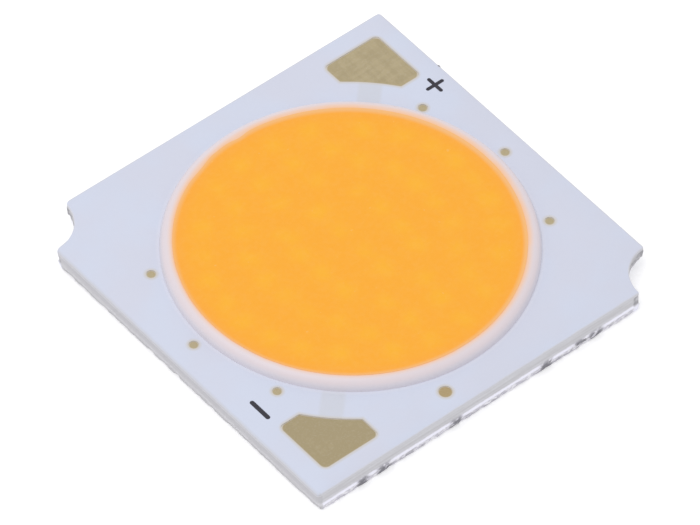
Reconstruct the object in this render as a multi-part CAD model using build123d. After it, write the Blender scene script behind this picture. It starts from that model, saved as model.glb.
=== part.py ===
from build123d import *
import math
import os

# Chip-on-board LED light source, all sizes in millimetres.
# X and Y lie along the sides of the board, Z points up out of the light face.
# The origin is the centre of the underside.

# Board
board_side = 19.0
corner_radius = 0.15
notch_radius = 1.78
notch_lip_radius = 0.28

# Layers, from the underside up
base_thickness = 0.90
dielectric_thickness = 0.08
copper_thickness = 0.035
mask_cover = 0.035
plating_thickness = 0.008

# Punched edge: a rolled top, a straight sheared band, a flared step and a broken band
edge_roll = 0.12
edge_left_upright = 0.01
step_top = 0.42
step_bottom = 0.23
step_flare = 0.03
break_draw_in = 0.035

# Light area, from the edge of the board inwards
dam_edge_distance = 1.50
dam_width = 0.98
dam_clearance = 0.04
bond_ledge = 0.13
window_clearance = 0.05
bead_flats = 7

# Copper
track_cover = 0.25
track_half_angle = 52
link_width = 1.0
land_margin = 0.10

# Solder pads in the two whole corners
pad_side = 2.94
pad_edge_distance = 0.925
pad_dam_distance = 1.37
pad_corner_radius = 0.20
pad_angle = 45

# Plated dots
probe_dam_distance = 0.48
probe_dot_diameter = 0.43
probe_spacing_angle = 29.1
temperature_dot_diameter = 0.61
temperature_dot_offset = 2.05
temperature_dot_edge_distance = 0.98

# LED dies, in rows above and below the middle line
die_side = 0.72
die_thickness = 0.15
die_window_clearance = 0.04
end_row_inset = 0.535
dies_per_row = (7, 7, 6, 6, 4)
middle_pair_shift = 0.37
middle_die_shift = 0.15
dies_per_string = 12

# Bond wires of square section, each rising steeply and falling in one long slope
wire_thickness = 0.03
wire_foot_inset = 0.12
wire_loop_height = 0.16
wire_apex_reach = 0.14

# Levels that follow from the sizes above
dielectric_top = base_thickness + dielectric_thickness
copper_top = dielectric_top + copper_thickness
mask_top = copper_top + mask_cover
die_top = base_thickness + die_thickness

# Radii about the middle of the light area
dam_outer_radius = board_side / 2 - dam_edge_distance
bead_radius = dam_width / 2
bead_circle_radius = dam_outer_radius - bead_radius
mask_window_radius = dam_outer_radius - dam_width - dam_clearance
track_inner_radius = mask_window_radius - bond_ledge
track_outer_radius = dam_outer_radius - track_cover
window_radius = track_inner_radius - window_clearance
die_circle_radius = window_radius - die_side / math.sqrt(2) - die_window_clearance
bond_circle_radius = track_inner_radius + bond_ledge / 2
probe_circle_radius = dam_outer_radius + probe_dam_distance
pad_arc_radius = dam_outer_radius + pad_dam_distance

# Rim of the silicone fill, at the inner edge of the bead's level crest
crest_half_angle = math.pi / (2 * bead_flats)
fill_rim_radius = bead_circle_radius - bead_radius * math.sin(crest_half_angle)
fill_rim_height = mask_top + bead_radius * math.cos(crest_half_angle)

row_pitch = (die_circle_radius - end_row_inset) / (len(dies_per_row) - 0.5)
probe_angles = (-probe_spacing_angle, 0, probe_spacing_angle)
half_turn = Rot(0, 0, 180)


def board_outline(grow=0.0):
    """Square with two opposite corners notched by arcs, moved outwards by grow."""
    half = board_side / 2
    outline = Rectangle(board_side + 2 * grow, board_side + 2 * grow)
    for side in (1, -1):
        outline -= Pos(side * half, -side * half) * Circle(notch_radius - grow)
    lips = [corner for corner in outline.vertices() if corner.X * corner.Y < 0]
    outline = fillet(lips, notch_lip_radius + grow)
    whole = [corner for corner in outline.vertices() if corner.X * corner.Y > 0]
    return fillet(whole, corner_radius + grow)


def tapered_band(low, low_grow, high, high_grow):
    """Band of the plate between two levels whose outlines differ by a small step."""
    low_outline = Pos(0, 0, low) * board_outline(low_grow)
    high_outline = Pos(0, 0, high) * board_outline(high_grow)
    return loft([low_outline, high_outline], ruled=True)


def make_base_plate():
    """Aluminium plate, punched from above, with its three bands of edge."""
    broken = tapered_band(0, step_flare - break_draw_in, step_bottom, step_flare)
    step = tapered_band(step_bottom, step_flare, step_top, 0)
    sheared = extrude(Pos(0, 0, step_top) * board_outline(), base_thickness - step_top)
    return broken + step + sheared


def layer_blank(low, high):
    """Slice of the layers on the plate, whose outer edge follows the roll of the punch."""
    stack_height = mask_top - base_thickness
    stack = extrude(Pos(0, 0, base_thickness) * board_outline(), stack_height)
    rim = stack.faces().sort_by(Axis.Z)[-1].edges()
    rolled = chamfer(rim, min(edge_roll, stack_height - edge_left_upright))
    slab = Pos(0, 0, (low + high) / 2) * Box(2 * board_side, 2 * board_side, high - low)
    return rolled & slab


def upright(outline, low, high):
    """Plan outline raised between two levels."""
    return extrude(Pos(0, 0, low) * outline, high - low)


def make_dielectric_layer():
    """Insulating layer with the round window in which the dies sit on the plate."""
    layer = layer_blank(base_thickness, dielectric_top)
    return layer - upright(Circle(window_radius), base_thickness, dielectric_top)


def pad_outline(grow=0.0):
    """Solder pad at the +X +Y corner, its inner corner cut back by an arc."""
    middle = (board_side - pad_side) / 2 - pad_edge_distance
    outline = Pos(middle, middle) * Rectangle(pad_side + 2 * grow, pad_side + 2 * grow)
    outline -= Circle(pad_arc_radius - grow)
    return fillet(outline.vertices(), pad_corner_radius + grow)


def radial_strip(angle, start, end, width):
    """Straight strip that runs outwards along a radius."""
    return Rot(0, 0, angle) * Pos((start + end) / 2, 0) * Rectangle(end - start, width)


def probe_place(angle):
    """Place of one probe dot on its circle."""
    return Rot(0, 0, angle) * Pos(probe_circle_radius, 0)


def copper_outline():
    """Copper of one pole: the arc, the link to its pad, the pad's land and the dots' tabs."""
    half_width = board_side * math.tan(math.radians(track_half_angle))
    sector = Polygon((0, 0), (board_side, -half_width), (board_side, half_width), align=None)
    outline = (Circle(track_outer_radius) - Circle(track_inner_radius)) & sector
    middle_radius = (track_inner_radius + track_outer_radius) / 2
    outline += radial_strip(pad_angle, middle_radius, pad_arc_radius + land_margin, link_width)
    outline += pad_outline(land_margin)
    tab_half = probe_dot_diameter / 2 + land_margin
    for angle in probe_angles:
        outline += radial_strip(angle, middle_radius, probe_circle_radius + tab_half, 2 * tab_half)
    return outline


def temperature_place():
    """Place of the temperature dot."""
    return Pos(-temperature_dot_offset, temperature_dot_edge_distance - board_side / 2)


def make_copper():
    """Copper tracks of both poles and the separate land of the temperature dot."""
    pole = copper_outline()
    land_side = temperature_dot_diameter + 2 * land_margin
    land = temperature_place() * Rectangle(land_side, land_side)
    return {
        "copper_positive": upright(pole, dielectric_top, copper_top),
        "copper_negative": upright(half_turn * pole, dielectric_top, copper_top),
        "copper_temperature": upright(land, dielectric_top, copper_top),
    }


def plated_outlines():
    """Outlines of everything plated that shows through the mask, by name."""
    outlines = {"pad_positive": pad_outline(), "pad_negative": half_turn * pad_outline()}
    dot = Circle(probe_dot_diameter / 2)
    number = 0
    for side in (Rot(0, 0, 0), half_turn):
        for angle in probe_angles:
            number += 1
            outlines[f"probe_dot_{number}"] = side * probe_place(angle) * dot
    outlines["temperature_dot"] = temperature_place() * Circle(temperature_dot_diameter / 2)
    return outlines


def make_solder_mask(copper, openings):
    """White mask that buries the copper and leaves the pads, dots and light area open."""
    mask = layer_blank(dielectric_top, mask_top)
    mask -= upright(Circle(mask_window_radius), dielectric_top, mask_top)
    for outline in openings.values():
        mask -= upright(outline, dielectric_top, mask_top)
    for layer in copper.values():
        mask -= layer
    return mask


def make_dam_ring():
    """White silicone bead on the mask round the light area, its half-round section in flats."""
    section = Pos(bead_circle_radius, mask_top) * RegularPolygon(bead_radius, 2 * bead_flats)
    section &= Pos(bead_circle_radius, mask_top + bead_radius) * Rectangle(2 * dam_width, dam_width)
    return revolve(Plane.XZ * section, Axis.Z)


def row_places(row):
    """Places of one row of dies above the middle line, its ends on the die circle."""
    last = dies_per_row[row] - 1
    level = (row + 0.5) * row_pitch
    reach = math.sqrt(die_circle_radius**2 - level**2)
    shift = middle_pair_shift if last % 2 else middle_die_shift
    places = []
    for index in range(last + 1):
        x = reach * (2 * index - last) / last
        in_middle = abs(2 * index - last) < 2
        y = level + shift if in_middle else level
        if row == len(dies_per_row) - 1:
            y = math.sqrt(die_circle_radius**2 - x**2)
        places.append((x, y))
    return places


def zigzag(places):
    """Order of the dies along a string: left to right, the nearer of two in line first."""
    left = sorted(places)
    order = [left.pop(0)]
    while left:
        in_line = [place for place in left if place[0] - left[0][0] < wire_thickness]
        nearest = min(in_line, key=lambda place: abs(place[1] - order[-1][1]))
        left.remove(nearest)
        order.append(nearest)
    return order


def string_places():
    """Dies of each string, from the top of the light area to the bottom."""
    upper = [place for row in range(len(dies_per_row)) for place in row_places(row)]
    lower = [(x, -y) for x, y in upper]
    ranked = sorted(upper + lower, key=lambda place: -place[1])
    groups = range(0, len(ranked), dies_per_string)
    return [zigzag(ranked[start:start + dies_per_string]) for start in groups]


def make_dies(places):
    """Dies of one string, each bonded flat on the plate."""
    die = extrude(Rectangle(die_side, die_side), die_thickness)
    return Compound(children=[Pos(x, y, base_thickness) * die for x, y in places])


def bond_wire(start, end):
    """One wire loop between two feet, each given with the level it is bonded on."""
    along = Vector(end.X - start.X, end.Y - start.Y, 0)
    span = along.length
    drop = end.Z - start.Z
    apex = die_top + wire_loop_height - start.Z
    half = wire_thickness / 2
    side_view = Polygon(
        (-half, 0),
        (wire_apex_reach, apex),
        (span + half, drop),
        (span - half, drop),
        (wire_apex_reach, apex - wire_thickness),
        (half, 0),
        align=None,
    )
    loop_plane = Plane(start, x_dir=along, z_dir=along.cross(Vector(0, 0, 1)))
    return extrude(loop_plane * side_view, half, both=True)


def make_bond_wires(places):
    """Wires of one string: from the left track through every die to the right track."""
    foot_reach = die_side / 2 - wire_foot_inset
    dies = [Vector(x, y, die_top) for x, y in places]
    wires = []
    for first, second in zip(dies, dies[1:]):
        step = (second - first).normalized() * foot_reach
        wires.append(bond_wire(first + step, second - step))
    for die in (dies[0], dies[-1]):
        outwards = Vector(die.X, die.Y, 0).normalized()
        land = outwards * bond_circle_radius + Vector(0, 0, copper_top)
        wires.append(bond_wire(die + outwards * foot_reach, land))
    return Compound(children=wires)


def make_phosphor_fill(inside):
    """Silicone poured inside the dam up to its crest, round all it buries."""
    outline = Polyline(
        (0, base_thickness),
        (window_radius, base_thickness),
        (window_radius, dielectric_top),
        (mask_window_radius, dielectric_top),
        (mask_window_radius, mask_top),
        (bead_circle_radius, mask_top),
        (fill_rim_radius, fill_rim_height),
        (0, fill_rim_height),
        close=True,
    )
    fill = revolve(Plane.XZ * make_face(outline), Axis.Z)
    return fill - [solid for piece in inside for solid in piece.solids()]


def make_plating(outlines):
    """Gold plating in each opening of the mask, seated on the copper."""
    level = copper_top + plating_thickness
    return {name: upright(outline, copper_top, level) for name, outline in outlines.items()}


def make_all():
    """Every sub-part, by node name."""
    copper = make_copper()
    openings = plated_outlines()
    dam_ring = make_dam_ring()
    parts = {"base_plate": make_base_plate(), "dielectric_layer": make_dielectric_layer()}
    parts.update(copper)
    parts["solder_mask"] = make_solder_mask(copper, openings)
    parts.update(make_plating(openings))
    parts["dam_ring"] = dam_ring
    inside = [dam_ring, copper["copper_positive"], copper["copper_negative"]]
    for number, places in enumerate(string_places(), start=1):
        parts[f"led_string_{number}"] = make_dies(places)
        parts[f"bond_wires_{number}"] = make_bond_wires(places)
        inside.append(parts[f"led_string_{number}"])
        inside.append(parts[f"bond_wires_{number}"])
    parts["phosphor_fill"] = make_phosphor_fill(inside)
    return parts


os.makedirs("parts", exist_ok=True)
for name, part in make_all().items():
    export_step(part, f"parts/{name}.step")
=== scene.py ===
import math
from functools import reduce

import bmesh
import bpy
from bpy.props import FloatProperty, FloatVectorProperty, PointerProperty
from mathutils import Matrix, Vector, noise


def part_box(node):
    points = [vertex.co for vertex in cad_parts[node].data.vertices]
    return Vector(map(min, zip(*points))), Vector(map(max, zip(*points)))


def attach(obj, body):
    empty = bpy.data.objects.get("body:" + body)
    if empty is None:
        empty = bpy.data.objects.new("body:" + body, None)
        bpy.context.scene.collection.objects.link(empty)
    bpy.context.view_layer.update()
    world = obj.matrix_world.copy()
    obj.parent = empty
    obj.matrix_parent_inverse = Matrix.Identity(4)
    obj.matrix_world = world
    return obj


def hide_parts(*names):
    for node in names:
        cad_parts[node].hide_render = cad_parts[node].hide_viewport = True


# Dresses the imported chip-on-board light source: finishes for the CAD pieces, and finer
# pieces for the punched edge, the lacquer, the silicone dam, the fill and the printed signs.

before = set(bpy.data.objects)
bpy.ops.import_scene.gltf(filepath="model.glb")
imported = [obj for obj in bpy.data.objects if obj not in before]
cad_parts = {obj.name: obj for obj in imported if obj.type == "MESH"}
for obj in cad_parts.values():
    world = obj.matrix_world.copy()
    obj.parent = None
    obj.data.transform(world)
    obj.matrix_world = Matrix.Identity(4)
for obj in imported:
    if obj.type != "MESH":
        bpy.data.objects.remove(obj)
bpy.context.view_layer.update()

bl_info = {
    "name": "Chip-on-board light source",
    "version": (1, 0, 0),
    "blender": (4, 5, 0),
    "location": "3D View > Sidebar > Light source",
    "description": "Makes the dressed pieces, the finishes and the studio of a chip-on-board light source",
    "category": "Add Mesh",
}

MM = 0.001
BODY = "root"
MERGE_DISTANCE = 1e-4 * MM
SHARP_ANGLE = math.radians(40)
FLAT_ANGLE = math.radians(1)

# Just under 1 and 0.5, so that the rolled edge and the signs' round ends keep a last small step
ROLL_SHARE = 0.98
BEVEL_SHARE = 0.49

# Steps in which the shapes are drawn
BAND_STEPS = 6
LAYER_STEPS = 5
WINDOW_STEPS = 180
BEAD_STEPS = 32
DAM_STEPS = 360
FILL_STEPS = 240
FILL_RINGS = 64
STROKE_END_STEPS = 6

# Stage
SENSOR_WIDTH = 36
NEAREST_SEEN = 0.01
FARTHEST_SEEN = 20
FLOOR_REACH = 3
FLOOR_CELLS = 8
FLOOR_DROP = 0.002 * MM
SEEN_RAYS = ("Is Camera Ray", "Is Glossy Ray", "Is Transmission Ray")

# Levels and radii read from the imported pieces
plate_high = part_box("base_plate")[1]
laminate_low, laminate_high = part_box("dielectric_layer")
mask_low, mask_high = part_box("solder_mask")
dam_low, dam_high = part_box("dam_ring")
fill_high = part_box("phosphor_fill")[1]
pad_low, pad_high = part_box("pad_positive")


def shown(red, green, blue):
    """Linear colour of a tint given as it shows on a screen, 0 to 255."""
    scaled = [part / 255 for part in (red, green, blue)]
    return [((part + 0.055) / 1.055) ** 2.4 if part > 0.04045 else part / 12.92 for part in scaled]


def length(name, description, size):
    """Property that holds a length, given in millimetres."""
    return FloatProperty(
        name=name, description=description, default=size * MM, min=0, precision=6, unit="LENGTH"
    )


def lengths(name, description, *sizes):
    """Property that holds several lengths, given in millimetres."""
    sizes = [size * MM for size in sizes]
    return FloatVectorProperty(
        name=name, description=description, default=sizes, size=len(sizes), precision=6, unit="LENGTH"
    )


def tint(name, description, red, green, blue):
    """Property that holds a colour, given as it shows on a screen."""
    colour = shown(red, green, blue)
    return FloatVectorProperty(
        name=name, description=description, default=colour, min=0, max=1, size=3, subtype="COLOR"
    )


def bearing(name, description, degrees):
    """Property that holds an angle, given in degrees."""
    turned = math.radians(degrees)
    return FloatProperty(name=name, description=description, default=turned, subtype="ANGLE")


def strength(name, description, value):
    """Property that holds a plain number."""
    return FloatProperty(name=name, description=description, default=value, min=0)


class BoardSettings(bpy.types.PropertyGroup):
    """Sizes of the board's edge, its notches and the marks on its side and its lacquer."""

    corner_radius: length("Corner radius", "Rounding of the two whole corners", 0.15)
    notch_radius: length("Notch radius", "Radius of the notches about the board's corners", 1.78)
    lip_right: length("Lips, right", "Rounding of the lips of the notch at plus X", 0.08)
    lip_left: length("Lips, left", "Rounding of the lips of the notch at minus X", 0.28)
    undercut: length("Undercut", "How far the lower half of a notch's wall is torn back", 0.25)
    undercut_top: length("Undercut top", "Where a notch's wall starts to recede", 0.50)
    notch_rough: length("Notch roughness", "Depth of the roughness of a notch's wall", 0.05)
    half_side: length("Half side", "From the middle of the board to its sheared edge", 9.5)
    column_pitch: length("Column pitch", "Spacing of the columns that carry the roughness", 0.055)
    break_top: length("Break top", "Top of the band where the metal tore", 0.28)
    burnish_top: length("Burnish top", "Top of the bright step above the torn band", 0.42)
    flare: length("Flare", "How far the step stands out", 0.04)
    tear_depth: length("Tear depth", "Deepest pits of the torn band", 0.05)
    lean_tear: strength("Lean tear", "How much deeper the pits are on the side that leans", 1.6)
    gouges: lengths("Gouges", "X of the gouges in the side at minus Y", -7.3, -6.15, -2.3, 2.6, 4.5, 5.3)
    gouge_reaches: lengths("Gouge reaches", "Half the width of each gouge", 0.45, 0.6, 0.5, 0.5, 0.6, 0.6)
    near_strip: length("Near strip", "Width of the strip that counts as the side at minus Y", 0.40)
    scar_level: length("Scar level", "Middle of the dull stripe on the sheared wall", 0.66)
    scar_reach: length("Scar reach", "Half the width of the dull stripe", 0.11)
    ragged_foot: length("Ragged foot", "How far the lower edge rises here and there", 0.06)
    roll: length("Roll", "How far the top edge is rolled in", 0.06)
    lean: length("Lean", "How far the top of the side at minus X overhangs its foot", 0.20)
    far_lean: length("Far lean", "How far the top of the sides at plus X and plus Y overhangs", 0.03)
    lean_width: length("Lean width", "Width of the strip that the lean draws out", 0.60)
    burr_height: length("Burr height", "How far the one burr stands out", 0.06)
    burr_place: length("Burr place", "Y of the burr on the side at plus X", 5.54)
    burr_reach: length("Burr reach", "Half the width of the burr", 0.12)
    link_width: length("Link width", "Width of the copper links under the lacquer", 1.0)
    link_blur: length("Link blur", "Softness of the links' edges", 0.10)
    corner_creep: length("Corner creep", "Rounding that the lacquer gives to the pads' corners", 0.30)
    cream_width: length("Cream width", "Width of the cream rim round the plating", 0.17)
    film_width: length("Film width", "Width of the lacquer film on the plating's rim", 0.06)
    # Painted shade on the rolled edge of the lacquer
    edge_width: length("Edge width", "Width of the greyer lacquer along the edge", 0.07)
    lean_shade: length("Lean shade", "Width of the shade along the side that leans", 0.20)
    # Width of the painted light beside the dam
    dam_light_width: length("Light width", "Width of the painted light beside the dam", 0.22)


class BoardColours(bpy.types.PropertyGroup):
    """Colours of the board's layers."""

    lacquer: tint("Lacquer", "White lacquer", 212, 218, 236)
    lacquer_warm: tint("Lacquer, warm", "Faint warmer clouds in the lacquer", 213, 216, 232)
    covered_copper: tint("Covered copper", "Lacquer over the copper links", 208, 211, 222)
    cream: tint("Cream", "Rim of the lacquer round the plating", 208, 202, 194)
    # On the lacquer this grey is painted shade on the rolled edge; on the laminate it is the layer's own
    # grey
    edge: tint("Rolled edge", "Lacquer and laminate on the rolled edge", 215, 215, 221)
    sheared: tint("Sheared metal", "Matt band of the punched edge", 216, 216, 221)
    # Painted shade on the side that leans, on its wall and along its top edge
    dragged: tint("Dragged metal", "Darker streaks of the matt band", 203, 202, 206)
    leaning_shade: tint("Leaning side", "Middle of the side that leans", 200, 199, 204)
    # Painted shade in the recess of the notches, broken into facets
    notch_shade: tint("Notch, dark", "Dark facets of the notches' walls", 168, 167, 172)
    # Painted light on the lacquer beside the dam, where it cancels the dam's contact shadow
    dam_side_light: tint("Light beside the dam", "Painted light on the lacquer beside the dam", 232, 231, 240)
    burnished: tint("Burnished metal", "Bright line of the punched edge", 233, 233, 244)
    torn: tint("Torn metal", "Rough band of the punched edge", 214, 212, 222)
    torn_light: tint("Torn metal, light", "Bright facets of the rough band", 246, 245, 250)
    pit: tint("Pits", "Dark pits of the torn band", 134, 133, 140)
    underside: tint("Underside", "Rolled aluminium underneath", 190, 191, 195)
    gold: tint("Gold", "Dull gold plating", 180, 166, 133)
    # Also the darker end of the painted reflection across the pads, towards minus X and Y
    gold_dark: tint("Gold, dark", "Darker weave of the plating", 166, 152, 120)
    gold_dots: tint("Gold, dots", "Plating of the small dots", 181, 168, 136)
    gold_warm: tint("Gold, large dot", "Warmer plating of the temperature dot", 174, 154, 116)
    ink: tint("Ink", "Printed signs", 48, 46, 56)
    copper: tint("Copper", "Copper under the lacquer and the dam", 206, 132, 98)
    copper_dark: tint("Copper, dark", "Grain of the copper", 186, 112, 82)
    die: tint("Die", "Dies in the fill", 96, 104, 140)
    die_dark: tint("Die, dark", "Grain of the dies", 70, 78, 110)
    wire: tint("Wire", "Bond wires", 226, 186, 110)
    wire_dark: tint("Wire, dark", "Grain of the wires", 206, 164, 92)


class DamSettings(bpy.types.PropertyGroup):
    """Sizes and colours of the silicone dam and of its joint."""

    joint_angle: bearing("Joint angle", "Where the bead's start and end meet", 99)
    joint_depth: length("Joint depth", "How far the bead swells over the fill at its joint", 0.09)
    rim_growth: length("Rim growth", "How far the fill's rim lies outside its even circle", 0.03)
    rim_shift: length("Rim shift", "How far the fill's rim is off the middle of the dam", 0.05)
    rim_shift_angle: bearing("Rim shift angle", "Where the rim is shifted to", 115)
    glow_width: length("Glow width", "How far the fill's colour reaches into the silicone", 0.34)
    foot_shift: length("Foot shift", "How far the bead's outer side is off the middle of the ring", 0.08)
    foot_shift_angle: bearing("Foot shift angle", "Where the outer side is shifted to", 65)
    # Width of the painted shade along the dam's outer foot
    foot_shade_width: length("Foot shade width", "Width of the painted shade along the outer foot", 0.16)
    silicone: tint("Silicone", "White silicone", 230, 218, 223)
    glow: tint("Glow", "Silicone that the fill shines into", 248, 199, 158)
    # Painted contact shade along the dam's outer foot; the same tint makes faint grey patches over the bead
    foot: tint("Foot", "Painted shade along the outer foot, and faint grey patches", 222, 219, 228)


class FillSettings(bpy.types.PropertyGroup):
    """Sizes and colours of the silicone fill with its phosphor."""

    sag: length("Sag", "How far the middle lies below the rim", 0.03)
    creep: length("Creep", "Width of the band that climbs to the rim", 0.5)
    skirt: length("Skirt", "Width of the fill under the dam's inner side", 0.4)
    die_glow: length("Die glow", "Radius of the lighter patch over a die", 0.52)
    phosphor: tint("Phosphor", "Fill between the dies", 254, 175, 53)
    over_die: tint("Over a die", "Fill above a die", 254, 183, 51)
    near_rim: tint("Near the rim", "Fill beside the dam", 254, 172, 64)
    rim_glow: tint("Rim glow", "Last bit of the fill, thin against the dam", 247, 189, 126)
    near_rim_width: length("Near the rim, width", "Width of the deeper band beside the dam", 0.70)
    rim_glow_width: length("Rim glow width", "Width of the paler band at the rim", 0.24)
    glow_lag: length("Glow lag", "How much narrower the paler band is at its narrowest", 0.06)
    glow_lag_angle: bearing("Glow lag angle", "Where the paler band is narrowest", 190)
    speck: tint("Specks", "Pale specks in the fill", 254, 192, 100)


class SignSettings(bpy.types.PropertyGroup):
    """Places and sizes of the printed signs."""

    print_height: length("Print height", "Thickness of the ink", 0.008)
    plus_right: length("Plus, X", "Middle of the plus sign", 8.66)
    plus_ahead: length("Plus, Y", "Middle of the plus sign", 4.80)
    plus_length: length("Plus length", "Length of both strokes", 0.95)
    plus_stroke: length("Plus stroke", "Width of both strokes", 0.165)
    minus_left: length("Minus, X", "Middle of the minus sign, towards minus X", 8.60)
    minus_behind: length("Minus, Y", "Middle of the minus sign, towards minus Y", 4.46)
    minus_length: length("Minus length", "Length of the stroke", 1.21)
    minus_stroke: length("Minus stroke", "Width of the stroke", 0.205)


class StudioSettings(bpy.types.PropertyGroup):
    """Camera, floor and light."""

    azimuth: bearing("Azimuth", "Camera's turn", -40.788)
    elevation: bearing("Elevation", "Camera's rise", 48.847)
    roll: bearing("Roll", "Camera's tilt", 1.2307)
    distance: length("Distance", "From the board to the camera", 345.69)
    aim_left: length("Aim left", "Camera's shift to the left", 0.0305)
    aim_down: length("Aim down", "Camera's shift downwards", 0.633)
    lens: strength("Lens", "Focal length in millimetres", 425.33)
    floor: tint("Floor", "Pale floor", 244, 244, 245)
    floor_glow: strength("Floor glow", "How much paler the floor looks to the camera", 0.29)
    sky: strength("Sky", "Strength of the even light", 0.77)
    key: strength("Key", "Strength of the large soft lamp in watts", 0.27)
    key_size: length("Key size", "Diameter of the large soft lamp", 250)
    key_place: lengths("Key place", "Place of the large soft lamp", -90, 50, 310)


SETTINGS = {
    "board_settings": BoardSettings,
    "board_colours": BoardColours,
    "dam_settings": DamSettings,
    "fill_settings": FillSettings,
    "sign_settings": SignSettings,
    "studio_settings": StudioSettings,
}


class Wire:
    """A socket of a finish. Sums written with it add Math nodes."""

    def __init__(self, finish, socket):
        self.finish = finish
        self.socket = socket

    def math(self, operation, *values):
        """Adds a Math node; with no values given it works on this wire alone."""
        inputs = dict(enumerate(values or (self,)))
        return self.finish.add("ShaderNodeMath", {"operation": operation}, inputs)

    def __add__(self, other):
        return self.math("ADD", self, other)

    def __radd__(self, other):
        return self.math("ADD", other, self)

    def __sub__(self, other):
        return self.math("SUBTRACT", self, other)

    def __rsub__(self, other):
        return self.math("SUBTRACT", other, self)

    def __mul__(self, other):
        return self.math("MULTIPLY", self, other)

    def __rmul__(self, other):
        return self.math("MULTIPLY", other, self)

    def __truediv__(self, other):
        return self.math("DIVIDE", self, other)

    def __abs__(self):
        return self.math("ABSOLUTE", self)

    def least(self, other):
        return self.math("MINIMUM", self, other)

    def most(self, other):
        return self.math("MAXIMUM", self, other)

    def sign(self):
        return self.math("SIGN", self)

    def fade(self, start, end):
        """0 before start, 1 after end and a smooth rise between; end may lie below start."""
        low, high = min(start, end), max(start, end)
        rise = self.finish.add(
            "ShaderNodeMapRange",
            {"interpolation_type": "SMOOTHSTEP"},
            {"Value": self, "From Min": low, "From Max": high},
        )
        return rise if end > start else 1 - rise


class Finish:
    """A material under construction; its patterns are laid out in millimetres."""

    def __init__(self, name, roughness, metallic=0.0, specular=0.3):
        self.material = bpy.data.materials.new(name)
        self.material.use_nodes = True
        self.tree = self.material.node_tree
        self.tree.nodes.clear()
        self.shader = self.tree.nodes.new("ShaderNodeBsdfPrincipled")
        output = self.tree.nodes.new("ShaderNodeOutputMaterial")
        self.tree.links.new(self.shader.outputs[0], output.inputs["Surface"])
        self.set(self.shader, {"Roughness": roughness, "Metallic": metallic, "Specular IOR Level": specular})
        self.place = self.add("ShaderNodeTexCoord", output="Object")
        self.place = self.stretched(1 / MM, 1 / MM, 1 / MM)

    def set(self, node, inputs):
        """Gives values or wires to a node's sockets, by name or by place in the list."""
        for key, value in inputs.items():
            live = [socket for socket in node.inputs if socket.enabled]
            socket = live[key] if isinstance(key, int) else next(item for item in live if item.name == key)
            if isinstance(value, Wire):
                self.tree.links.new(value.socket, socket)
            elif socket.type == "RGBA":
                socket.default_value = (*value, 1)
            else:
                socket.default_value = value

    def add(self, kind, settings=None, inputs=None, output=0):
        """Adds a node, its settings first and then its sockets, and returns one output."""
        node = self.tree.nodes.new(kind)
        for key, value in (settings or {}).items():
            setattr(node, key, value)
        self.set(node, inputs or {})
        if isinstance(output, str):
            return Wire(self, next(item for item in node.outputs if item.name == output))
        return Wire(self, [item for item in node.outputs if item.enabled][output])

    def stretched(self, x, y, z):
        """Place in millimetres, each axis multiplied by its own number."""
        return self.add("ShaderNodeMapping", None, {"Vector": self.place, "Scale": (x, y, z)})

    def axes(self):
        """X, Y and Z of the place, in millimetres."""
        return [self.add("ShaderNodeSeparateXYZ", None, {"Vector": self.place}, axis) for axis in "XYZ"]

    def grain(self, density, detail=2.0, place=None):
        """Noise from 0 to 1 with about density grains in a millimetre."""
        inputs = {"Vector": place or self.place, "Scale": density, "Detail": detail}
        return self.add("ShaderNodeTexNoise", None, inputs)

    def mix(self, factor, first, second):
        """Colour between first and second."""
        inputs = {"Factor": factor, "A": first, "B": second}
        return self.add("ShaderNodeMix", {"data_type": "RGBA"}, inputs)

    def reach(self, x, y):
        """Distance in plan from a point in millimetres."""
        flat = self.stretched(1, 1, 0)
        return self.add("ShaderNodeVectorMath", {"operation": "DISTANCE"}, {0: flat, 1: (x, y, 0)}, "Value")

    def attribute(self, name):
        """Value stored at the points of the mesh."""
        return self.add("ShaderNodeAttribute", {"attribute_name": name}, None, "Fac")

    def bump(self, height, depth):
        """Raises the surface by height, 0 to 1, times depth in millimetres."""
        inputs = {"Height": height, "Distance": depth * MM, "Strength": 1.0}
        self.set(self.shader, {"Normal": self.add("ShaderNodeBump", None, inputs)})

    def colour(self, wire):
        self.set(self.shader, {"Base Color": wire})


def lacquer_finish(tints):
    """White lacquer with cream rims round the plating, painted shade on its rolled edge and along the side
    that leans, and painted light beside the dam.
    """
    finish = Finish("white_lacquer", 0.42)
    sizes = bpy.context.scene.board_settings
    x, y, _ = finish.axes()
    clouds = finish.grain(0.35, 3).fade(0.35, 0.65)
    colour = finish.mix(clouds, tints.lacquer, tints.lacquer_warm)
    half_link, blur = sizes.link_width / MM / 2, sizes.link_blur / MM
    across = abs(x - y) * math.sqrt(0.5)
    link = across.fade(half_link + blur, half_link - blur) * cut_arc(finish).fade(-blur, 0.0)
    colour = finish.mix(link * (0.6 + 0.4 * finish.grain(3)), colour, tints.covered_copper)
    rims = outside_plating(finish, x, y).fade(sizes.cream_width / MM, -0.02)
    colour = finish.mix(rims * 0.9, colour, tints.cream)
    inside = edge_distance(finish, x, y, sizes.lean / MM)
    rough_inside = inside + (finish.grain(1.7, 4) - 0.5) * 0.08
    # Painted shade along the top edge of the side that leans
    leaning_shade = (rough_inside + (x + sizes.half_side / MM).sign().most(0)).fade(sizes.lean_shade / MM, 0.0)
    # Painted shade: the lacquer turns greyer on the rolled edge
    colour = finish.mix(rough_inside.fade(sizes.edge_width / MM, -0.01), colour, tints.edge)
    colour = finish.mix(leaning_shade * 0.6, colour, tints.leaning_shade)
    # Painted light on the lacquer beside the dam, cancelling its contact shadow
    light_beside_dam = (finish.reach(*foot_middle()) - dam_high.x / MM).fade(sizes.dam_light_width / MM, 0.02)
    colour = finish.mix(light_beside_dam * 0.4, colour, tints.dam_side_light)
    finish.colour(finish.mix(burr_shade(finish), colour, tints.pit))
    finish.bump(finish.grain(5, 3) + 0.5 * finish.grain(0.6), 0.006)
    return finish.material


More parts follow.
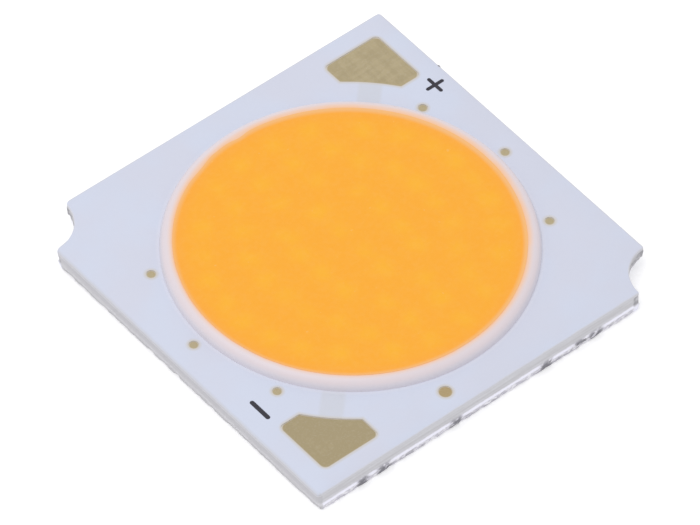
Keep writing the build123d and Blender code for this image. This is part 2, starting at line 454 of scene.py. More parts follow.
def foot_middle():
    """Middle of the dam's outer edge, in millimetres."""
    sizes = bpy.context.scene.dam_settings
    turned, off = sizes.foot_shift_angle, sizes.foot_shift / MM
    return off * math.cos(turned), off * math.sin(turned)


def burr_shade(finish):
    """1 on the dark tip of the burr, 0 further off."""
    sizes = bpy.context.scene.board_settings
    reach = sizes.burr_reach / MM
    tip = finish.reach((sizes.half_side + sizes.burr_height) / MM, sizes.burr_place / MM)
    return tip.fade(reach, reach / 2)


def notch_distance(finish):
    """Distance in plan outwards from the nearer notch's arc, in millimetres."""
    sizes = bpy.context.scene.board_settings
    half = sizes.half_side / MM
    return finish.reach(half, -half).least(finish.reach(-half, half)) - sizes.notch_radius / MM


def edge_distance(finish, x, y, lean):
    """Distance in plan from the nearer side or notch of the board, in millimetres."""
    half = bpy.context.scene.board_settings.half_side / MM
    sides = (half - abs(y).most(x)).least(x + half + lean)
    return sides.least(notch_distance(finish))


def cut_arc(finish):
    """Distance in plan inwards from the arc that cuts the pads back, in millimetres."""
    inner_corners = [point.co.xy.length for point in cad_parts["pad_positive"].data.vertices]
    return min(inner_corners) / MM - finish.reach(0, 0)


def pad_distance(x, y):
    """Distance in plan outwards from the pads' square, its corners rounded by the lacquer."""
    middle = [(low + high) / 2 / MM for low, high in zip(pad_low, pad_high)]
    creep = bpy.context.scene.board_settings.corner_creep / MM
    straight = (pad_high.x - pad_low.x) / 2 / MM - creep
    side = (x + y).sign()
    past_x = (abs(x * side - middle[0]) - straight).most(0)
    past_y = (abs(y * side - middle[1]) - straight).most(0)
    return (past_x * past_x + past_y * past_y).math("SQRT") - creep


def outside_plating(finish, x, y):
    """Distance in plan outwards from the nearest pad or dot, below 0 on it."""
    distance = pad_distance(x, y).most(cut_arc(finish))
    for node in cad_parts:
        if "_dot" in node:
            low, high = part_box(node)
            middle = (low + high) / 2 / MM
            radius = (high.x - low.x) / 2 / MM
            distance = distance.least(finish.reach(middle.x, middle.y) - radius)
    return distance


def laminate_finish(tints):
    """Grey edge of the insulating layer."""
    finish = Finish("insulating_laminate", 0.6)
    streaks = finish.grain(2.0, 3, finish.stretched(1, 1, 8))
    colour = finish.mix(streaks.fade(0.3, 0.7), tints.edge, tints.sheared)
    finish.colour(finish.mix(burr_shade(finish), colour, tints.pit))
    finish.bump(streaks, 0.01)
    return finish.material


def plate_finish(tints):
    """Aluminium with the bands that a punch leaves, painted shade on the side that leans and in the notches,
    and a rolled underside.
    """
    finish = Finish("punched_aluminium", 0.5)
    sizes = bpy.context.scene.board_settings
    x, y, z = finish.axes()
    half, top = sizes.half_side / MM, plate_high.z / MM
    break_top, burnish_top = sizes.break_top / MM, sizes.burnish_top / MM
    drag = finish.grain(1.6, 4, finish.stretched(0.5, 0.5, 4))
    scar_middle = sizes.scar_level / MM + (0.5 - finish.grain(0.7)) * 0.08
    scar = abs(z - scar_middle).fade(sizes.scar_reach / MM, 0.02)
    sheared = finish.mix((drag.fade(0.3, 0.7) * 0.8).most(scar * 0.9), tints.sheared, tints.dragged)

    patches = finish.grain(0.55, 1, finish.stretched(1, 1, 0)).fade(0.46, 0.60)
    gouged = gouged_places(sizes, x, y)
    patches = (patches * (1 - near_side(sizes, y) * 0.65)).most(gouged)
    chips = (finish.grain(2.2, 4, finish.stretched(1, 1, 2.2)) + gouged * 0.08).fade(0.47, 0.60)
    chips = chips * (0.15 + 0.85 * patches)
    facets = finish.grain(4.5, 3, finish.stretched(1, 1, 1.6)).fade(0.42, 0.62)
    torn = finish.mix(facets, tints.torn, tints.torn_light)
    level = z + (finish.grain(1.1, 2) - 0.5) * 0.05
    burnish = level.fade(break_top, break_top + 0.06)
    above = level.fade(burnish_top - 0.04, burnish_top + 0.06)
    shine = (burnish - above) * (1 - 0.75 * gouged)
    colour = finish.mix(shine, torn, tints.burnished)
    colour = finish.mix(above, colour, sheared)
    low = level.fade(break_top + 0.04, break_top - 0.04)
    reached = low.most(gouged * level.fade(burnish_top + 0.12, break_top))
    colour = finish.mix(chips * reached, colour, tints.pit)

    # Painted shade on the wall of the side that leans, darkest about its middle, with a ragged edge
    middle = abs(z - top * 0.78).fade(0.42, 0.0)
    ragged = finish.grain(3, 4, finish.stretched(1, 1, 0.25)) - 0.5
    leaning_shade = finish.mix((middle + ragged * 1.2).fade(0.0, 1.0), tints.dragged, tints.leaning_shade)
    strip, torn_back = sizes.near_strip / MM, sizes.undercut / MM
    colour = finish.mix(x.fade(strip / 4 - half, strip / 20 - half), colour, leaning_shade)
    # Painted shade on the upper walls of the notches, broken into facets; below it the burnished metal of
    # the torn-back lower walls
    notched = notch_distance(finish).fade(torn_back + 0.11, torn_back + 0.01)
    bright = z.fade(burnish_top + 0.03, break_top)
    in_notch = finish.mix(bright, finish.mix(facets, tints.notch_shade, tints.dragged), tints.burnished)
    colour = finish.mix(notched, colour, in_notch)

    rolled_grain = finish.grain(1.4, 5, finish.stretched(0.25, 14, 1))
    under = finish.mix(rolled_grain.fade(0.3, 0.7), tints.underside, tints.sheared)
    below = z.fade(0.012, 0.004) * edge_distance(finish, x, y, 0).fade(0.02, 0.12)
    finish.colour(finish.mix(below, colour, under))
    shiny = shine.most(below).most(notched * bright)
    finish.set(finish.shader, {"Metallic": 0.25 + 0.6 * shiny, "Roughness": 0.55 - 0.25 * shiny})
    finish.bump(drag * 0.4 + finish.grain(9, 4) * 0.6 + rolled_grain * 0.2, 0.012)
    return finish.material


def near_side(sizes, y):
    """1 on the side at minus Y, 0 further in."""
    half, strip = sizes.half_side / MM, sizes.near_strip / MM
    return y.fade(strip - half, strip / 4 - half)


def gouged_places(sizes, x, y):
    """1 at the gouges of the side at minus Y, 0 elsewhere."""
    marks = []
    for place, reach in zip(sizes.gouges, sizes.gouge_reaches):
        marks.append(abs(x - place / MM).fade(reach / MM, reach / MM / 3))
    return reduce(Wire.most, marks) * near_side(sizes, y)


def gold_finish(name, light, dark, tints):
    """Dull gold plating with the woven grain of the foil under it, and a painted reflection that leaves it a
    little darker towards minus X and Y.
    """
    finish = Finish(name, 0.42)
    x, y, _ = finish.axes()
    warp = finish.grain(4.5, 2, finish.stretched(1, 0.2, 1))
    weft = finish.grain(4.5, 2, finish.stretched(0.2, 1, 1))
    # Painted reflection: the plating is lighter towards plus X and Y and darker towards minus X and Y, added
    # to the woven grain of the foil
    weave_and_sheen = (warp + weft).fade(0.7, 1.3) * 0.7 + (x + y).fade(16, -16) * 0.8
    shade = finish.mix(weave_and_sheen, light, dark)
    shade = finish.mix(finish.grain(12).fade(0.45, 0.8) * 0.12, shade, tints.cream)
    film = outside_plating(finish, x, y).fade(-bpy.context.scene.board_settings.film_width / MM, 0.0)
    finish.colour(finish.mix(film, shade, tints.cream))
    finish.set(finish.shader, {"Metallic": 0.55 + 0.15 * weave_and_sheen})
    finish.bump(finish.grain(11, 3) + weave_and_sheen * 0.5, 0.003)
    return finish.material


def plain_finish(name, colour, darker, density, roughness, metallic, depth):
    """Finish of a piece that the lacquer or the fill hides: grains in a millimetre, and bump depth."""
    finish = Finish(name, roughness, metallic)
    grain = finish.grain(density, 3)
    finish.colour(finish.mix(grain.fade(0.3, 0.7), colour, darker))
    finish.bump(grain, depth)
    return finish.material


def silicone_finish(sizes):
    """White silicone, warmed by the fill on its inner side, with painted shade along its foot."""
    finish = Finish("white_silicone", 0.36)
    outwards = finish.attribute("from_rim") / MM + (finish.grain(0.8) - 0.5) * 0.04
    glow = outwards.fade(sizes.glow_width / MM, -0.04)
    colour = finish.mix(glow, sizes.silicone, sizes.glow)
    # Painted shade along the outer foot, where the bead meets the lacquer
    foot = (dam_high.x / MM - finish.reach(*foot_middle())).fade(sizes.foot_shade_width / MM, 0.0)
    colour = finish.mix(foot * 0.8, colour, sizes.foot)
    finish.colour(finish.mix(finish.grain(0.9, 3).fade(0.45, 0.7) * 0.2, colour, sizes.foot))
    finish.bump(finish.grain(1.3, 3), 0.008)
    return finish.material


def phosphor_finish(sizes):
    """Orange-yellow silicone, a little lighter over each die and deeper near the dam."""
    finish = Finish("phosphor_silicone", 0.5, specular=0.2)
    over = finish.attribute("over_die")
    inwards = finish.attribute("from_rim") / -MM
    mottle = finish.grain(0.8, 3) + 0.6 * finish.grain(2.2, 2) - 0.8
    colour = finish.mix((over * 0.8 + mottle).fade(-0.1, 1.2), sizes.phosphor, sizes.over_die)
    colour = finish.mix(inwards.fade(sizes.near_rim_width / MM, 0.05) * 0.8, colour, sizes.near_rim)
    colour = finish.mix(inwards.fade(sizes.rim_glow_width / MM, 0.0), colour, sizes.rim_glow)
    specks = finish.grain(4.2, 1).fade(0.76, 0.80) * 0.6
    haze = finish.grain(5, 3).fade(0.35, 0.75) * 0.14
    finish.colour(finish.mix(specks.most(haze), colour, sizes.speck))
    finish.bump(finish.grain(7, 3) + 0.6 * over, 0.006)
    return finish.material


def ink_finish(tints):
    """Printed ink, slightly uneven."""
    finish = Finish("print_ink", 0.55)
    grain = finish.grain(7, 3)
    finish.colour(finish.mix(grain.fade(0.45, 0.8) * 0.4, tints.ink, [part + 0.03 for part in tints.ink]))
    finish.bump(grain, 0.004)
    return finish.material


def dress(node, material):
    """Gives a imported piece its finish."""
    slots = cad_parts[node].data.materials
    slots.clear()
    slots.append(material)


def mesh_of(form, name):
    """Mesh of a form, which is freed."""
    mesh = bpy.data.meshes.new(name)
    form.to_mesh(mesh)
    form.free()
    return mesh


def add_object(name, data):
    """Puts a new object in the scene."""
    item = bpy.data.objects.new(name, data)
    bpy.context.scene.collection.objects.link(item)
    return item


def make_piece(name, form, material, slot=None, *nodes):
    """Turns a form into a piece on the body, in the place of the CAD nodes named."""
    bmesh.ops.remove_doubles(form, verts=form.verts, dist=MERGE_DISTANCE)
    bmesh.ops.recalc_face_normals(form, faces=form.faces)
    mesh = mesh_of(form, name)
    mesh.shade_smooth()
    mesh.set_sharp_from_angle(angle=SHARP_ANGLE)
    mesh.materials.append(material)
    piece = add_object(name, mesh)
    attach(piece, BODY)
    if nodes:
        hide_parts(*nodes)


def points_in(geometry):
    return [item for item in geometry if isinstance(item, bmesh.types.BMVert)]


def edges_in(geometry):
    return [item for item in geometry if isinstance(item, bmesh.types.BMEdge)]


def turn(form, point, centre, angle, pitch):
    """Draws an arc in plan from a point about a centre and returns its far end."""
    radius = (point.co - Vector(centre)).length
    steps = max(4, round(radius * abs(angle) / pitch))
    swept = bmesh.ops.spin(form, geom=[point], cent=centre, axis=(0, 0, 1), angle=angle, steps=steps)
    return points_in(swept["geom_last"])[0]


def half_outline(form, sizes, lip):
    """Draws one round corner, a side and the notch at its end, at level 0."""
    half, corner = sizes.half_side, sizes.corner_radius
    reach = sizes.notch_radius + lip
    back = math.sqrt(reach**2 - lip**2)
    lean = math.asin(lip / reach)
    quarter = math.pi / 2
    start = form.verts.new((half - corner, half, 0))
    corner_end = turn(form, start, (half - corner, half - corner, 0), -quarter, sizes.column_pitch)
    lip_start = form.verts.new((half, back - half, 0))
    form.edges.new((corner_end, lip_start))
    end = turn(form, lip_start, (half - lip, back - half, 0), lean - quarter, sizes.column_pitch)
    end = turn(form, end, (half, -half, 0), quarter - 2 * lean, sizes.column_pitch)
    turn(form, end, (half - back, lip - half, 0), lean - quarter, sizes.column_pitch)


def board_outline(form, sizes):
    """Draws the outline of the board at level 0: two round corners and two notches."""
    half_outline(form, sizes, sizes.lip_left)
    bmesh.ops.rotate(form, verts=form.verts, cent=(0, 0, 0), matrix=Matrix.Rotation(math.pi, 3, "Z"))
    half_outline(form, sizes, sizes.lip_right)
    ends = [point for point in form.verts if len(point.link_edges) == 1]
    ends.sort(key=lambda point: point.co.y)
    form.edges.new(ends[:2])
    form.edges.new(ends[2:])
    for edge in list(form.edges):
        cuts = int(edge.calc_length() / sizes.column_pitch)
        if cuts:
            bmesh.ops.subdivide_edges(form, edges=[edge], cuts=cuts)
    return list(form.edges)


def next_level(form, ring, rise, ratio):
    """Raises walls from a ring of edges, scaled in plan, and returns the new ring."""
    grown = bmesh.ops.extrude_edge_only(form, edges=ring)["geom"]
    points = points_in(grown)
    bmesh.ops.translate(form, verts=points, vec=(0, 0, rise))
    bmesh.ops.scale(form, verts=points, vec=(ratio, ratio, 1))
    fresh = set(points)
    return [edge for edge in edges_in(grown) if fresh.issuperset(edge.verts)]


def walls(form, ring, levels):
    """Raises walls from a ring through levels, each given with its outline's scale."""
    for (level, ratio), (new_level, new_ratio) in zip(levels, levels[1:]):
        ring = next_level(form, ring, new_level - level, new_ratio / ratio)
    return ring


def joined_copy(node):
    """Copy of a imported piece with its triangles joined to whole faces, for the caller to free."""
    copy = bmesh.new()
    copy.from_mesh(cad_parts[node].data)
    bmesh.ops.remove_doubles(copy, verts=copy.verts, dist=MERGE_DISTANCE)
    bmesh.ops.dissolve_limit(copy, angle_limit=FLAT_ANGLE, verts=copy.verts, edges=copy.edges)
    return copy


def outline_of(form, node, level):
    """Draws a plated node's outline at a level and returns its ring of edges."""
    copy = joined_copy(node)
    top = max(copy.faces, key=lambda face: face.calc_center_median().z)
    points = [form.verts.new((corner.vert.co.x, corner.vert.co.y, level)) for corner in top.loops]
    copy.free()
    return [form.edges.new(pair) for pair in zip(points, points[1:] + points[:1])]


def share(value):
    """The value, kept between 0 and 1."""
    return min(1, max(0, value))


def rolled_ratio(sizes, level):
    """Scale of the outline at a level: 1 on the sheared wall, less on the rolled edge."""
    start = mask_high.z - sizes.roll
    rolled = share((level - start) / sizes.roll)
    drawn_in = sizes.roll * (1 - math.sqrt(1 - ROLL_SHARE * rolled**2))
    return 1 - drawn_in / sizes.half_side


def lean_out(sizes, form):
    """Draws three sides outwards, from nothing at the foot to their full lean at the top."""
    start = sizes.half_side - sizes.lean_width
    leans = (((-1, 0, 0), sizes.lean), ((1, 0, 0), sizes.far_lean), ((0, 1, 0), sizes.far_lean))
    for point in form.verts:
        rise = point.co.z / mask_high.z
        for side, lean in leans:
            outwards = Vector(side)
            nearness = share((point.co.dot(outwards) - start) / sizes.lean_width)
            point.co += outwards * (lean * nearness * rise)


def window(node):
    """Radius of the round window of a packed layer."""
    return min(point.co.xy.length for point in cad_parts[node].data.vertices)


def layer_form(sizes, low, high, nodes, opening):
    """Layer of the board with its rolled outer edge, a round window and openings."""
    form = bmesh.new()
    bottom = board_outline(form, sizes)
    ratio = rolled_ratio(sizes, low)
    bmesh.ops.translate(form, verts=form.verts, vec=(0, 0, low))
    bmesh.ops.scale(form, verts=form.verts, vec=(ratio, ratio, 1))
    levels = [low + (high - low) * step / LAYER_STEPS for step in range(LAYER_STEPS + 1)]
    top = walls(form, bottom, [(level, rolled_ratio(sizes, level)) for level in levels])
    hole = bmesh.ops.create_circle(form, segments=WINDOW_STEPS, radius=opening)["verts"]
    bmesh.ops.translate(form, verts=hole, vec=(0, 0, high))
    openings = list({edge for point in hole for edge in point.link_edges})
    for node in nodes:
        openings += outline_of(form, node, high)
    top += openings
    bottom += next_level(form, openings, low - high, 1)
    bmesh.ops.triangle_fill(form, use_beauty=True, edges=top, normal=(0, 0, 1))
    bmesh.ops.triangle_fill(form, use_beauty=True, edges=bottom, normal=(0, 0, -1))
    lean_out(sizes, form)
    raise_burr(sizes, form)
    return form


def raise_burr(sizes, form):
    """Pushes the edge out where the punch left one small burr."""
    middle = Vector((sizes.half_side, sizes.burr_place, mask_low.z))
    for point in form.verts:
        nearness = max(0, 1 - (point.co - middle).length / sizes.burr_reach)
        point.co.x += sizes.burr_height * nearness


def plate_form(sizes):
    """Punched plate: a ragged torn band, a step that stands out, and a sheared wall."""
    form = bmesh.new()
    ring = board_outline(form, sizes)
    out = 1 + sizes.flare / sizes.half_side
    bottom = bmesh.ops.contextual_create(form, geom=ring)["faces"]
    levels = [(0, 1)]
    levels += [(sizes.break_top * step / BAND_STEPS, out) for step in range(1, BAND_STEPS + 1)]
    levels += [(sizes.break_top + sizes.flare, out)]
    smooth = plate_high.z - sizes.burnish_top
    levels += [(sizes.burnish_top + smooth * step / BAND_STEPS, 1) for step in range(BAND_STEPS + 1)]
    bmesh.ops.contextual_create(form, geom=walls(form, ring, levels))
    bmesh.ops.inset_region(form, faces=bottom, thickness=sizes.roll)
    bmesh.ops.recalc_face_normals(form, faces=form.faces)
    form.normal_update()
    edge_points = [point for point in form.verts if point.co.z < sizes.break_top - MERGE_DISTANCE]
    moved = [(point, tear(sizes, point)) for point in edge_points if on_outer_wall(point)]
    for point, place in moved:
        point.co = place
    tear_notches(sizes, form)
    lean_out(sizes, form)
    return form


def tear_notches(sizes, form):
    """Roughens the walls of the two notches and tears their lower half back, but not at the near lips."""
    corners = [Vector((side * sizes.half_side, -side * sizes.half_side, 0)) for side in (1, -1)]
    for point in form.verts:
        if plate_high.z - point.co.z < MERGE_DISTANCE:
            continue
        low = share((sizes.undercut_top - point.co.z) / (sizes.undercut_top / 3))
        rough = roughness(point.co / MM, 2.6, 7.3, 0.6)
        for corner in corners:
            away = Vector((point.co.x - corner.x, point.co.y - corner.y, 0))
            beyond = away.length - sizes.notch_radius
            nearness = share(1 - beyond / (3 * sizes.undercut))
            inside = share((min(point.co.x, point.co.y) + sizes.half_side) / sizes.lean_width)
            moved = (sizes.undercut * low * inside + sizes.notch_rough * rough) * nearness
            point.co += away.normalized() * moved


def roughness(place, coarse, fine, part):
    """Coarse noise and a part of a finer one at a place in millimetres."""
    return noise.noise(place * coarse) + part * noise.noise(place * fine)


def on_outer_wall(point):
    return any(abs(face.normal.z) < 0.7 for face in point.link_faces)


def tear(sizes, point):
    """Place of a point of the torn band once the metal has broken away round it."""
    place = point.co / MM
    outwards = Vector((point.normal.x, point.normal.y, 0)).normalized()
    depth = 1 - place.z * MM / sizes.break_top
    pits = max(0, roughness(place, 2.3, 7.1, 0.35) + 0.15)
    if place.x < 1 - sizes.half_side / MM:
        pits *= sizes.lean_tear
    rise = max(0, noise.noise(Vector((place.x, place.y, 4.0)) * 0.9) + 0.3 * noise.noise(place * 4.3))
    moved = point.co - outwards * sizes.tear_depth * pits * min(1, 2.5 * depth)
    if point.co.z < MERGE_DISTANCE:
        moved.z += sizes.ragged_foot * min(1, 1.6 * rise)
    return moved


def rim_inset(sizes, angle):
    """How far the dam stands over the fill at an angle: swellings at its joint, and the rim's shift."""
    off = math.degrees(angle - sizes.joint_angle)
    swollen = swelling(off, -9, 3) + 0.6 * swelling(off, 10, 5) - 0.25 * swelling(off, 3, 2.5)
    shift = sizes.rim_growth + sizes.rim_shift * math.cos(angle - sizes.rim_shift_angle)
    return sizes.joint_depth * swollen - shift


def swelling(off, place, reach):
    """1 at a place beside the joint, falling away over its reach, all in degrees."""
    return math.exp(-(((off - place) / reach) ** 2))


def polar(point):
    """Distance of a point from Z, and the angle it lies at."""
    return point.co.xy.length, math.atan2(point.co.y, point.co.x)


def spin_round(form, steps):
    """Turns the section drawn so far round Z, to a closed body."""
    section = [*form.verts, *form.edges]
    middle, upwards = (0, 0, 0), (0, 0, 1)
    bmesh.ops.spin(
        form, geom=section, cent=middle, axis=upwards, angle=2 * math.pi, steps=steps, use_merge=True
    )


def dam_form(sizes):
    """Bead of silicone with a round back, swollen where its start and end meet."""
    form = bmesh.new()
    half_width = (dam_high.x - window("dam_ring")) / 2
    circle = dam_high.x - half_width
    points = bmesh.ops.create_circle(form, segments=2 * BEAD_STEPS, radius=1)["verts"]
    bmesh.ops.scale(form, verts=points, vec=(half_width, dam_high.z - dam_low.z, 1))
    bmesh.ops.rotate(form, verts=points, cent=(0, 0, 0), matrix=Matrix.Rotation(math.pi / 2, 3, "X"))
    bmesh.ops.translate(form, verts=points, vec=(circle, 0, dam_low.z))
    section = [*form.verts, *form.edges]
    bmesh.ops.bisect_plane(form, geom=section, plane_co=dam_low, plane_no=(0, 0, 1), clear_inner=True)
    form.edges.new([point for point in form.verts if len(point.link_edges) == 1])
    spin_round(form, DAM_STEPS)
    from_rim = form.verts.layers.float.new("from_rim")
    for point in form.verts:
        radius, angle = polar(point)
        point[from_rim] = radius - fill_high.x
        inner = share((circle - radius) / (circle - fill_high.x) * 0.8 + 0.4)
        ripple = sizes.rim_growth / 4 * noise.noise(point.co / MM * 0.5)
        shift = rim_inset(sizes, angle) * inner + ripple
        shift -= sizes.foot_shift * math.cos(angle - sizes.foot_shift_angle) * (1 - inner)
        point.co.xy *= 1 - shift / radius
    return form


def die_middles():
    """Middle of each die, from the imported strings."""
    middles = []
    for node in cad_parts:
        if node.startswith("led_string"):
            copy = joined_copy(node)
            middles += [face.calc_center_median().xy for face in copy.faces if face.normal.z > 0.9]
            copy.free()
    return middles


def fill_form(sizes, dam_sizes):
    """Fill of silicone, flat in the middle and climbing a little at its rim."""
    form = bmesh.new()
    rim = fill_high.x
    skirt = rim - sizes.skirt
    start = form.verts.new((0, 0, fill_high.z - sizes.sag))
    for step in range(1, FILL_RINGS + 1):
        radius = rim * step / FILL_RINGS
        climb = math.exp(-(rim - radius) / (sizes.creep / 2))
        point = form.verts.new((radius, 0, fill_high.z - sizes.sag * (1 - climb)))
        form.edges.new((start, point))
        start = point
    foot, floor = mask_high.z, plate_high.z
    for radius, level in ((rim, foot), (skirt, foot), (skirt, floor), (0, floor)):
        point = form.verts.new((radius, 0, level))
        form.edges.new((start, point))
        start = point
    spin_round(form, FILL_STEPS)
    bmesh.ops.remove_doubles(form, verts=form.verts, dist=MERGE_DISTANCE)
    over_die = form.verts.layers.float.new("over_die")
    from_rim = form.verts.layers.float.new("from_rim")
    middles = die_middles()
    for point in form.verts:
        spread = [(point.co.xy - middle).length_squared for middle in middles]
        point[over_die] = min(1, sum(math.exp(-squared / sizes.die_glow**2) for squared in spread))
        radius, angle = polar(point)
        point[from_rim] = radius - rim - sizes.glow_lag * math.cos(angle - sizes.glow_lag_angle)
        if radius > skirt:
            inset = rim_inset(dam_sizes, angle)
            point.co.xy *= 1 - inset * (1 - (rim - radius) / sizes.skirt) / radius
    return form


def sign_form(sizes, x, y, across, along, stroke):
    """Printed sign with round ends: one stroke along Y, and one along X if across is above 0."""
    form = bmesh.new()
    points = bmesh.ops.create_grid(form, x_segments=3, y_segments=3, size=1)["verts"]
    for point in points:
        inner_x, inner_y = abs(point.co.x) < 0.5, abs(point.co.y) < 0.5
        point.co.x = math.copysign(stroke / 2 if inner_x else across / 2, point.co.x)
        point.co.y = math.copysign(stroke / 2 if inner_y else along / 2, point.co.y)
    middles = {face: face.calc_center_median() for face in form.faces}
    spare = [face for face, middle in middles.items() if min(abs(middle.x), abs(middle.y)) > stroke / 2]
    if not across:
        spare = [face for face, middle in middles.items() if abs(middle.x) > stroke / 8]
    bmesh.ops.delete(form, geom=spare, context="FACES")
    bmesh.ops.dissolve_faces(form, faces=form.faces)
    ends = [point for point in form.verts if max(abs(point.co.x), abs(point.co.y)) > stroke]
    bmesh.ops.bevel(
        form,
        geom=ends,
        offset=stroke * BEVEL_SHARE,
        segments=STROKE_END_STEPS,
        profile=0.5,
        affect="VERTICES",
        material=-1,
    )
    raised = bmesh.ops.extrude_face_region(form, geom=form.faces)["geom"]
    bmesh.ops.translate(form, verts=points_in(raised), vec=(0, 0, sizes.print_height))
    bmesh.ops.translate(form, verts=form.verts, vec=(x, y, mask_high.z))
    return form


class LIGHT_OT_board(bpy.types.Operator):
    """Makes the punched plate, the insulating layer and the lacquer"""

    bl_idname = "light_source.make_board"
    bl_label = "Board"

    def execute(self, context):
        sizes, tints = context.scene.board_settings, context.scene.board_colours
        make_piece("punched_plate", plate_form(sizes), plate_finish(tints), "aluminium_plate", "base_plate")
        laminate = layer_form(sizes, laminate_low.z, laminate_high.z, [], window("dielectric_layer"))
        grey = laminate_finish(tints)
        make_piece("laminate_layer", laminate, grey, "insulating_laminate", "dielectric_layer")
        plated = [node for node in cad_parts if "_dot" in node or node.startswith("pad_")]
        lacquer = layer_form(sizes, mask_low.z, mask_high.z, plated, window("solder_mask"))
        make_piece("lacquer_layer", lacquer, lacquer_finish(tints), "white_mask", "solder_mask")
        return {"FINISHED"}


class LIGHT_OT_metal(bpy.types.Operator):
    """Finishes the plating, the copper, the dies and their wires"""

    bl_idname = "light_source.finish_metal"
    bl_label = "Plating, copper, dies and wires"

    def execute(self, context):
        tints = context.scene.board_colours
        pad_gold = gold_finish("gold_pads", tints.gold, tints.gold_dark, tints)
        dot_gold = gold_finish("gold_dots", tints.gold_dots, tints.gold, tints)
        warm_gold = gold_finish("gold_temperature", tints.gold, tints.gold_warm, tints)
        copper = plain_finish("copper_foil", tints.copper, tints.copper_dark, 6, 0.35, 1.0, 0.004)
        dies = plain_finish("die_crystal", tints.die, tints.die_dark, 3, 0.2, 0.3, 0.002)
        wire = plain_finish("gold_wire", tints.wire, tints.wire_dark, 20, 0.25, 1.0, 0.001)
        kinds = {"copper": copper, "led_string": dies, "bond_wires": wire, "pad": pad_gold}
        kinds.update({"probe_dot": dot_gold, "temperature_dot": warm_gold})
        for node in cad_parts:
            for start, material in kinds.items():
                if node.startswith(start):
                    dress(node, material)
        return {"FINISHED"}


class LIGHT_OT_dam(bpy.types.Operator):
    """Makes the silicone dam with its joint"""

    bl_idname = "light_source.make_dam"
    bl_label = "Silicone dam"

    def execute(self, context):
        sizes = context.scene.dam_settings
        make_piece("silicone_dam", dam_form(sizes), silicone_finish(sizes), "white_silicone", "dam_ring")
        return {"FINISHED"}


class LIGHT_OT_fill(bpy.types.Operator):
    """Makes the fill of silicone and phosphor"""

    bl_idname = "light_source.make_fill"
    bl_label = "Phosphor fill"

    def execute(self, context):
        sizes = context.scene.fill_settings
        form = fill_form(sizes, context.scene.dam_settings)
        make_piece("phosphor_surface", form, phosphor_finish(sizes), "phosphor_silicone", "phosphor_fill")
        return {"FINISHED"}


class LIGHT_OT_signs(bpy.types.Operator):
    """Prints the plus and the minus sign"""

    bl_idname = "light_source.print_signs"
    bl_label = "Printed signs"

    def execute(self, context):
        sizes = context.scene.sign_settings
        ink = ink_finish(context.scene.board_colours)
        strokes = (sizes.plus_length, sizes.plus_length, sizes.plus_stroke)
        plus = sign_form(sizes, sizes.plus_right, sizes.plus_ahead, *strokes)
        make_piece("plus_sign", plus, ink)
        strokes = (0, sizes.minus_length, sizes.minus_stroke)
        minus = sign_form(sizes, -sizes.minus_left, -sizes.minus_behind, *strokes)
        make_piece("minus_sign", minus, ink)
        return {"FINISHED"}


class LIGHT_OT_studio(bpy.types.Operator):
    """Sets the camera, the pale floor and the soft light"""

    bl_idname = "light_source.set_studio"
    bl_label = "Studio"

    def execute(self, context):
        studio = context.scene.studio_settings
        set_camera(context.scene, studio)
        set_floor(studio)
        set_light(context.scene, studio)
        return {"FINISHED"}


def set_camera(scene, studio):
    """Camera at the angle of the picture, aimed near the middle of the board's top."""
    scene.view_settings.view_transform = "Standard"
    turned, risen = studio.azimuth, studio.elevation
    back = Vector((math.sin(turned) * math.cos(risen), -math.cos(turned) * math.cos(risen), math.sin(risen)))
    right = Vector((math.cos(turned), math.sin(turned), 0))
    up = back.cross(right)
    camera = add_object("camera", bpy.data.cameras.new("camera"))
    aim = Vector((0, 0, mask_high.z)) - right * studio.aim_left - up * studio.aim_down
    place = back * studio.distance + aim
    axes = Matrix((right, up, back)).transposed() @ Matrix.Rotation(studio.roll, 3, "Z")
    camera.matrix_world = Matrix.Translation(place) @ axes.to_4x4()
    camera.data.lens = studio.lens
    camera.data.sensor_width = SENSOR_WIDTH
    camera.data.clip_start = NEAREST_SEEN
    camera.data.clip_end = FARTHEST_SEEN
    scene.camera = camera


def set_floor(studio):
    """Pale floor that keeps the object's shadow."""
    form = bmesh.new()
    bmesh.ops.create_grid(form, x_segments=FLOOR_CELLS, y_segments=FLOOR_CELLS, size=FLOOR_REACH)
    bmesh.ops.translate(form, verts=form.verts, vec=(0, 0, -FLOOR_DROP))
    floor = add_object("floor", mesh_of(form, "floor"))
    finish = Finish("pale_floor", 0.9)
    finish.colour(finish.mix(finish.grain(0.02), studio.floor, [part * 0.995 for part in studio.floor]))
    seen = reduce(Wire.most, [finish.add("ShaderNodeLightPath", output=ray) for ray in SEEN_RAYS])
    glow = {"Emission Color": finish.mix(seen, (0, 0, 0), (1, 1, 1)), "Emission Strength": studio.floor_glow}
    finish.set(finish.shader, {**glow, "Specular IOR Level": 0.0})
    floor.data.materials.append(finish.material)


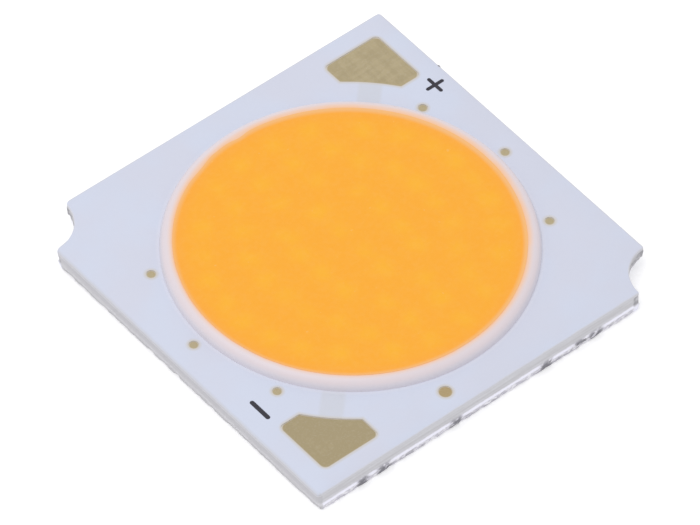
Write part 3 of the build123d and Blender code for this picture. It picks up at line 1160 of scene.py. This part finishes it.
def set_light(scene, studio):
    """Even sky and one large soft lamp."""
    world = bpy.data.worlds.new("sky")
    scene.world = world
    world.use_nodes = True
    tree = world.node_tree
    path = tree.nodes.new("ShaderNodeLightPath")
    background = tree.nodes["Background"]
    background.inputs["Color"].default_value = (1, 1, 1, 1)
    seen = path.outputs[SEEN_RAYS[0]]
    for ray in SEEN_RAYS[1:]:
        either = tree.nodes.new("ShaderNodeMath")
        either.operation = "MAXIMUM"
        tree.links.new(seen, either.inputs[0])
        tree.links.new(path.outputs[ray], either.inputs[1])
        seen = either.outputs[0]
    strength = tree.nodes.new("ShaderNodeMapRange")
    tree.links.new(seen, strength.inputs["Value"])
    strength.inputs["To Min"].default_value = studio.sky
    tree.links.new(strength.outputs[0], background.inputs["Strength"])
    lamp = bpy.data.lights.new("key", "AREA")
    lamp.shape = "DISK"
    lamp.size = studio.key_size
    lamp.energy = studio.key
    holder = add_object("key", lamp)
    place = Vector(studio.key_place)
    holder.location = place
    holder.rotation_mode = "QUATERNION"
    holder.rotation_quaternion = place.to_track_quat("Z", "Y")


class LIGHT_PT_panel(bpy.types.Panel):
    """Lists the steps that make the light source"""

    bl_label = "Light source"
    bl_space_type = "VIEW_3D"
    bl_region_type = "UI"
    bl_category = "Light source"

    def draw(self, context):
        for operator in OPERATORS:
            self.layout.operator(operator.bl_idname)


OPERATORS = [LIGHT_OT_board, LIGHT_OT_metal, LIGHT_OT_dam, LIGHT_OT_fill, LIGHT_OT_signs, LIGHT_OT_studio]
CLASSES = [*SETTINGS.values(), *OPERATORS, LIGHT_PT_panel]


def register():
    for kind in CLASSES:
        bpy.utils.register_class(kind)
    for name, kind in SETTINGS.items():
        setattr(bpy.types.Scene, name, PointerProperty(type=kind))


def unregister():
    for name in SETTINGS:
        delattr(bpy.types.Scene, name)
    for kind in reversed(CLASSES):
        bpy.utils.unregister_class(kind)


def main():
    register()
    bpy.ops.light_source.make_board()
    bpy.ops.light_source.finish_metal()
    bpy.ops.light_source.make_dam()
    bpy.ops.light_source.make_fill()
    bpy.ops.light_source.print_signs()
    bpy.ops.light_source.set_studio()


if __name__ == "__main__":
    main()
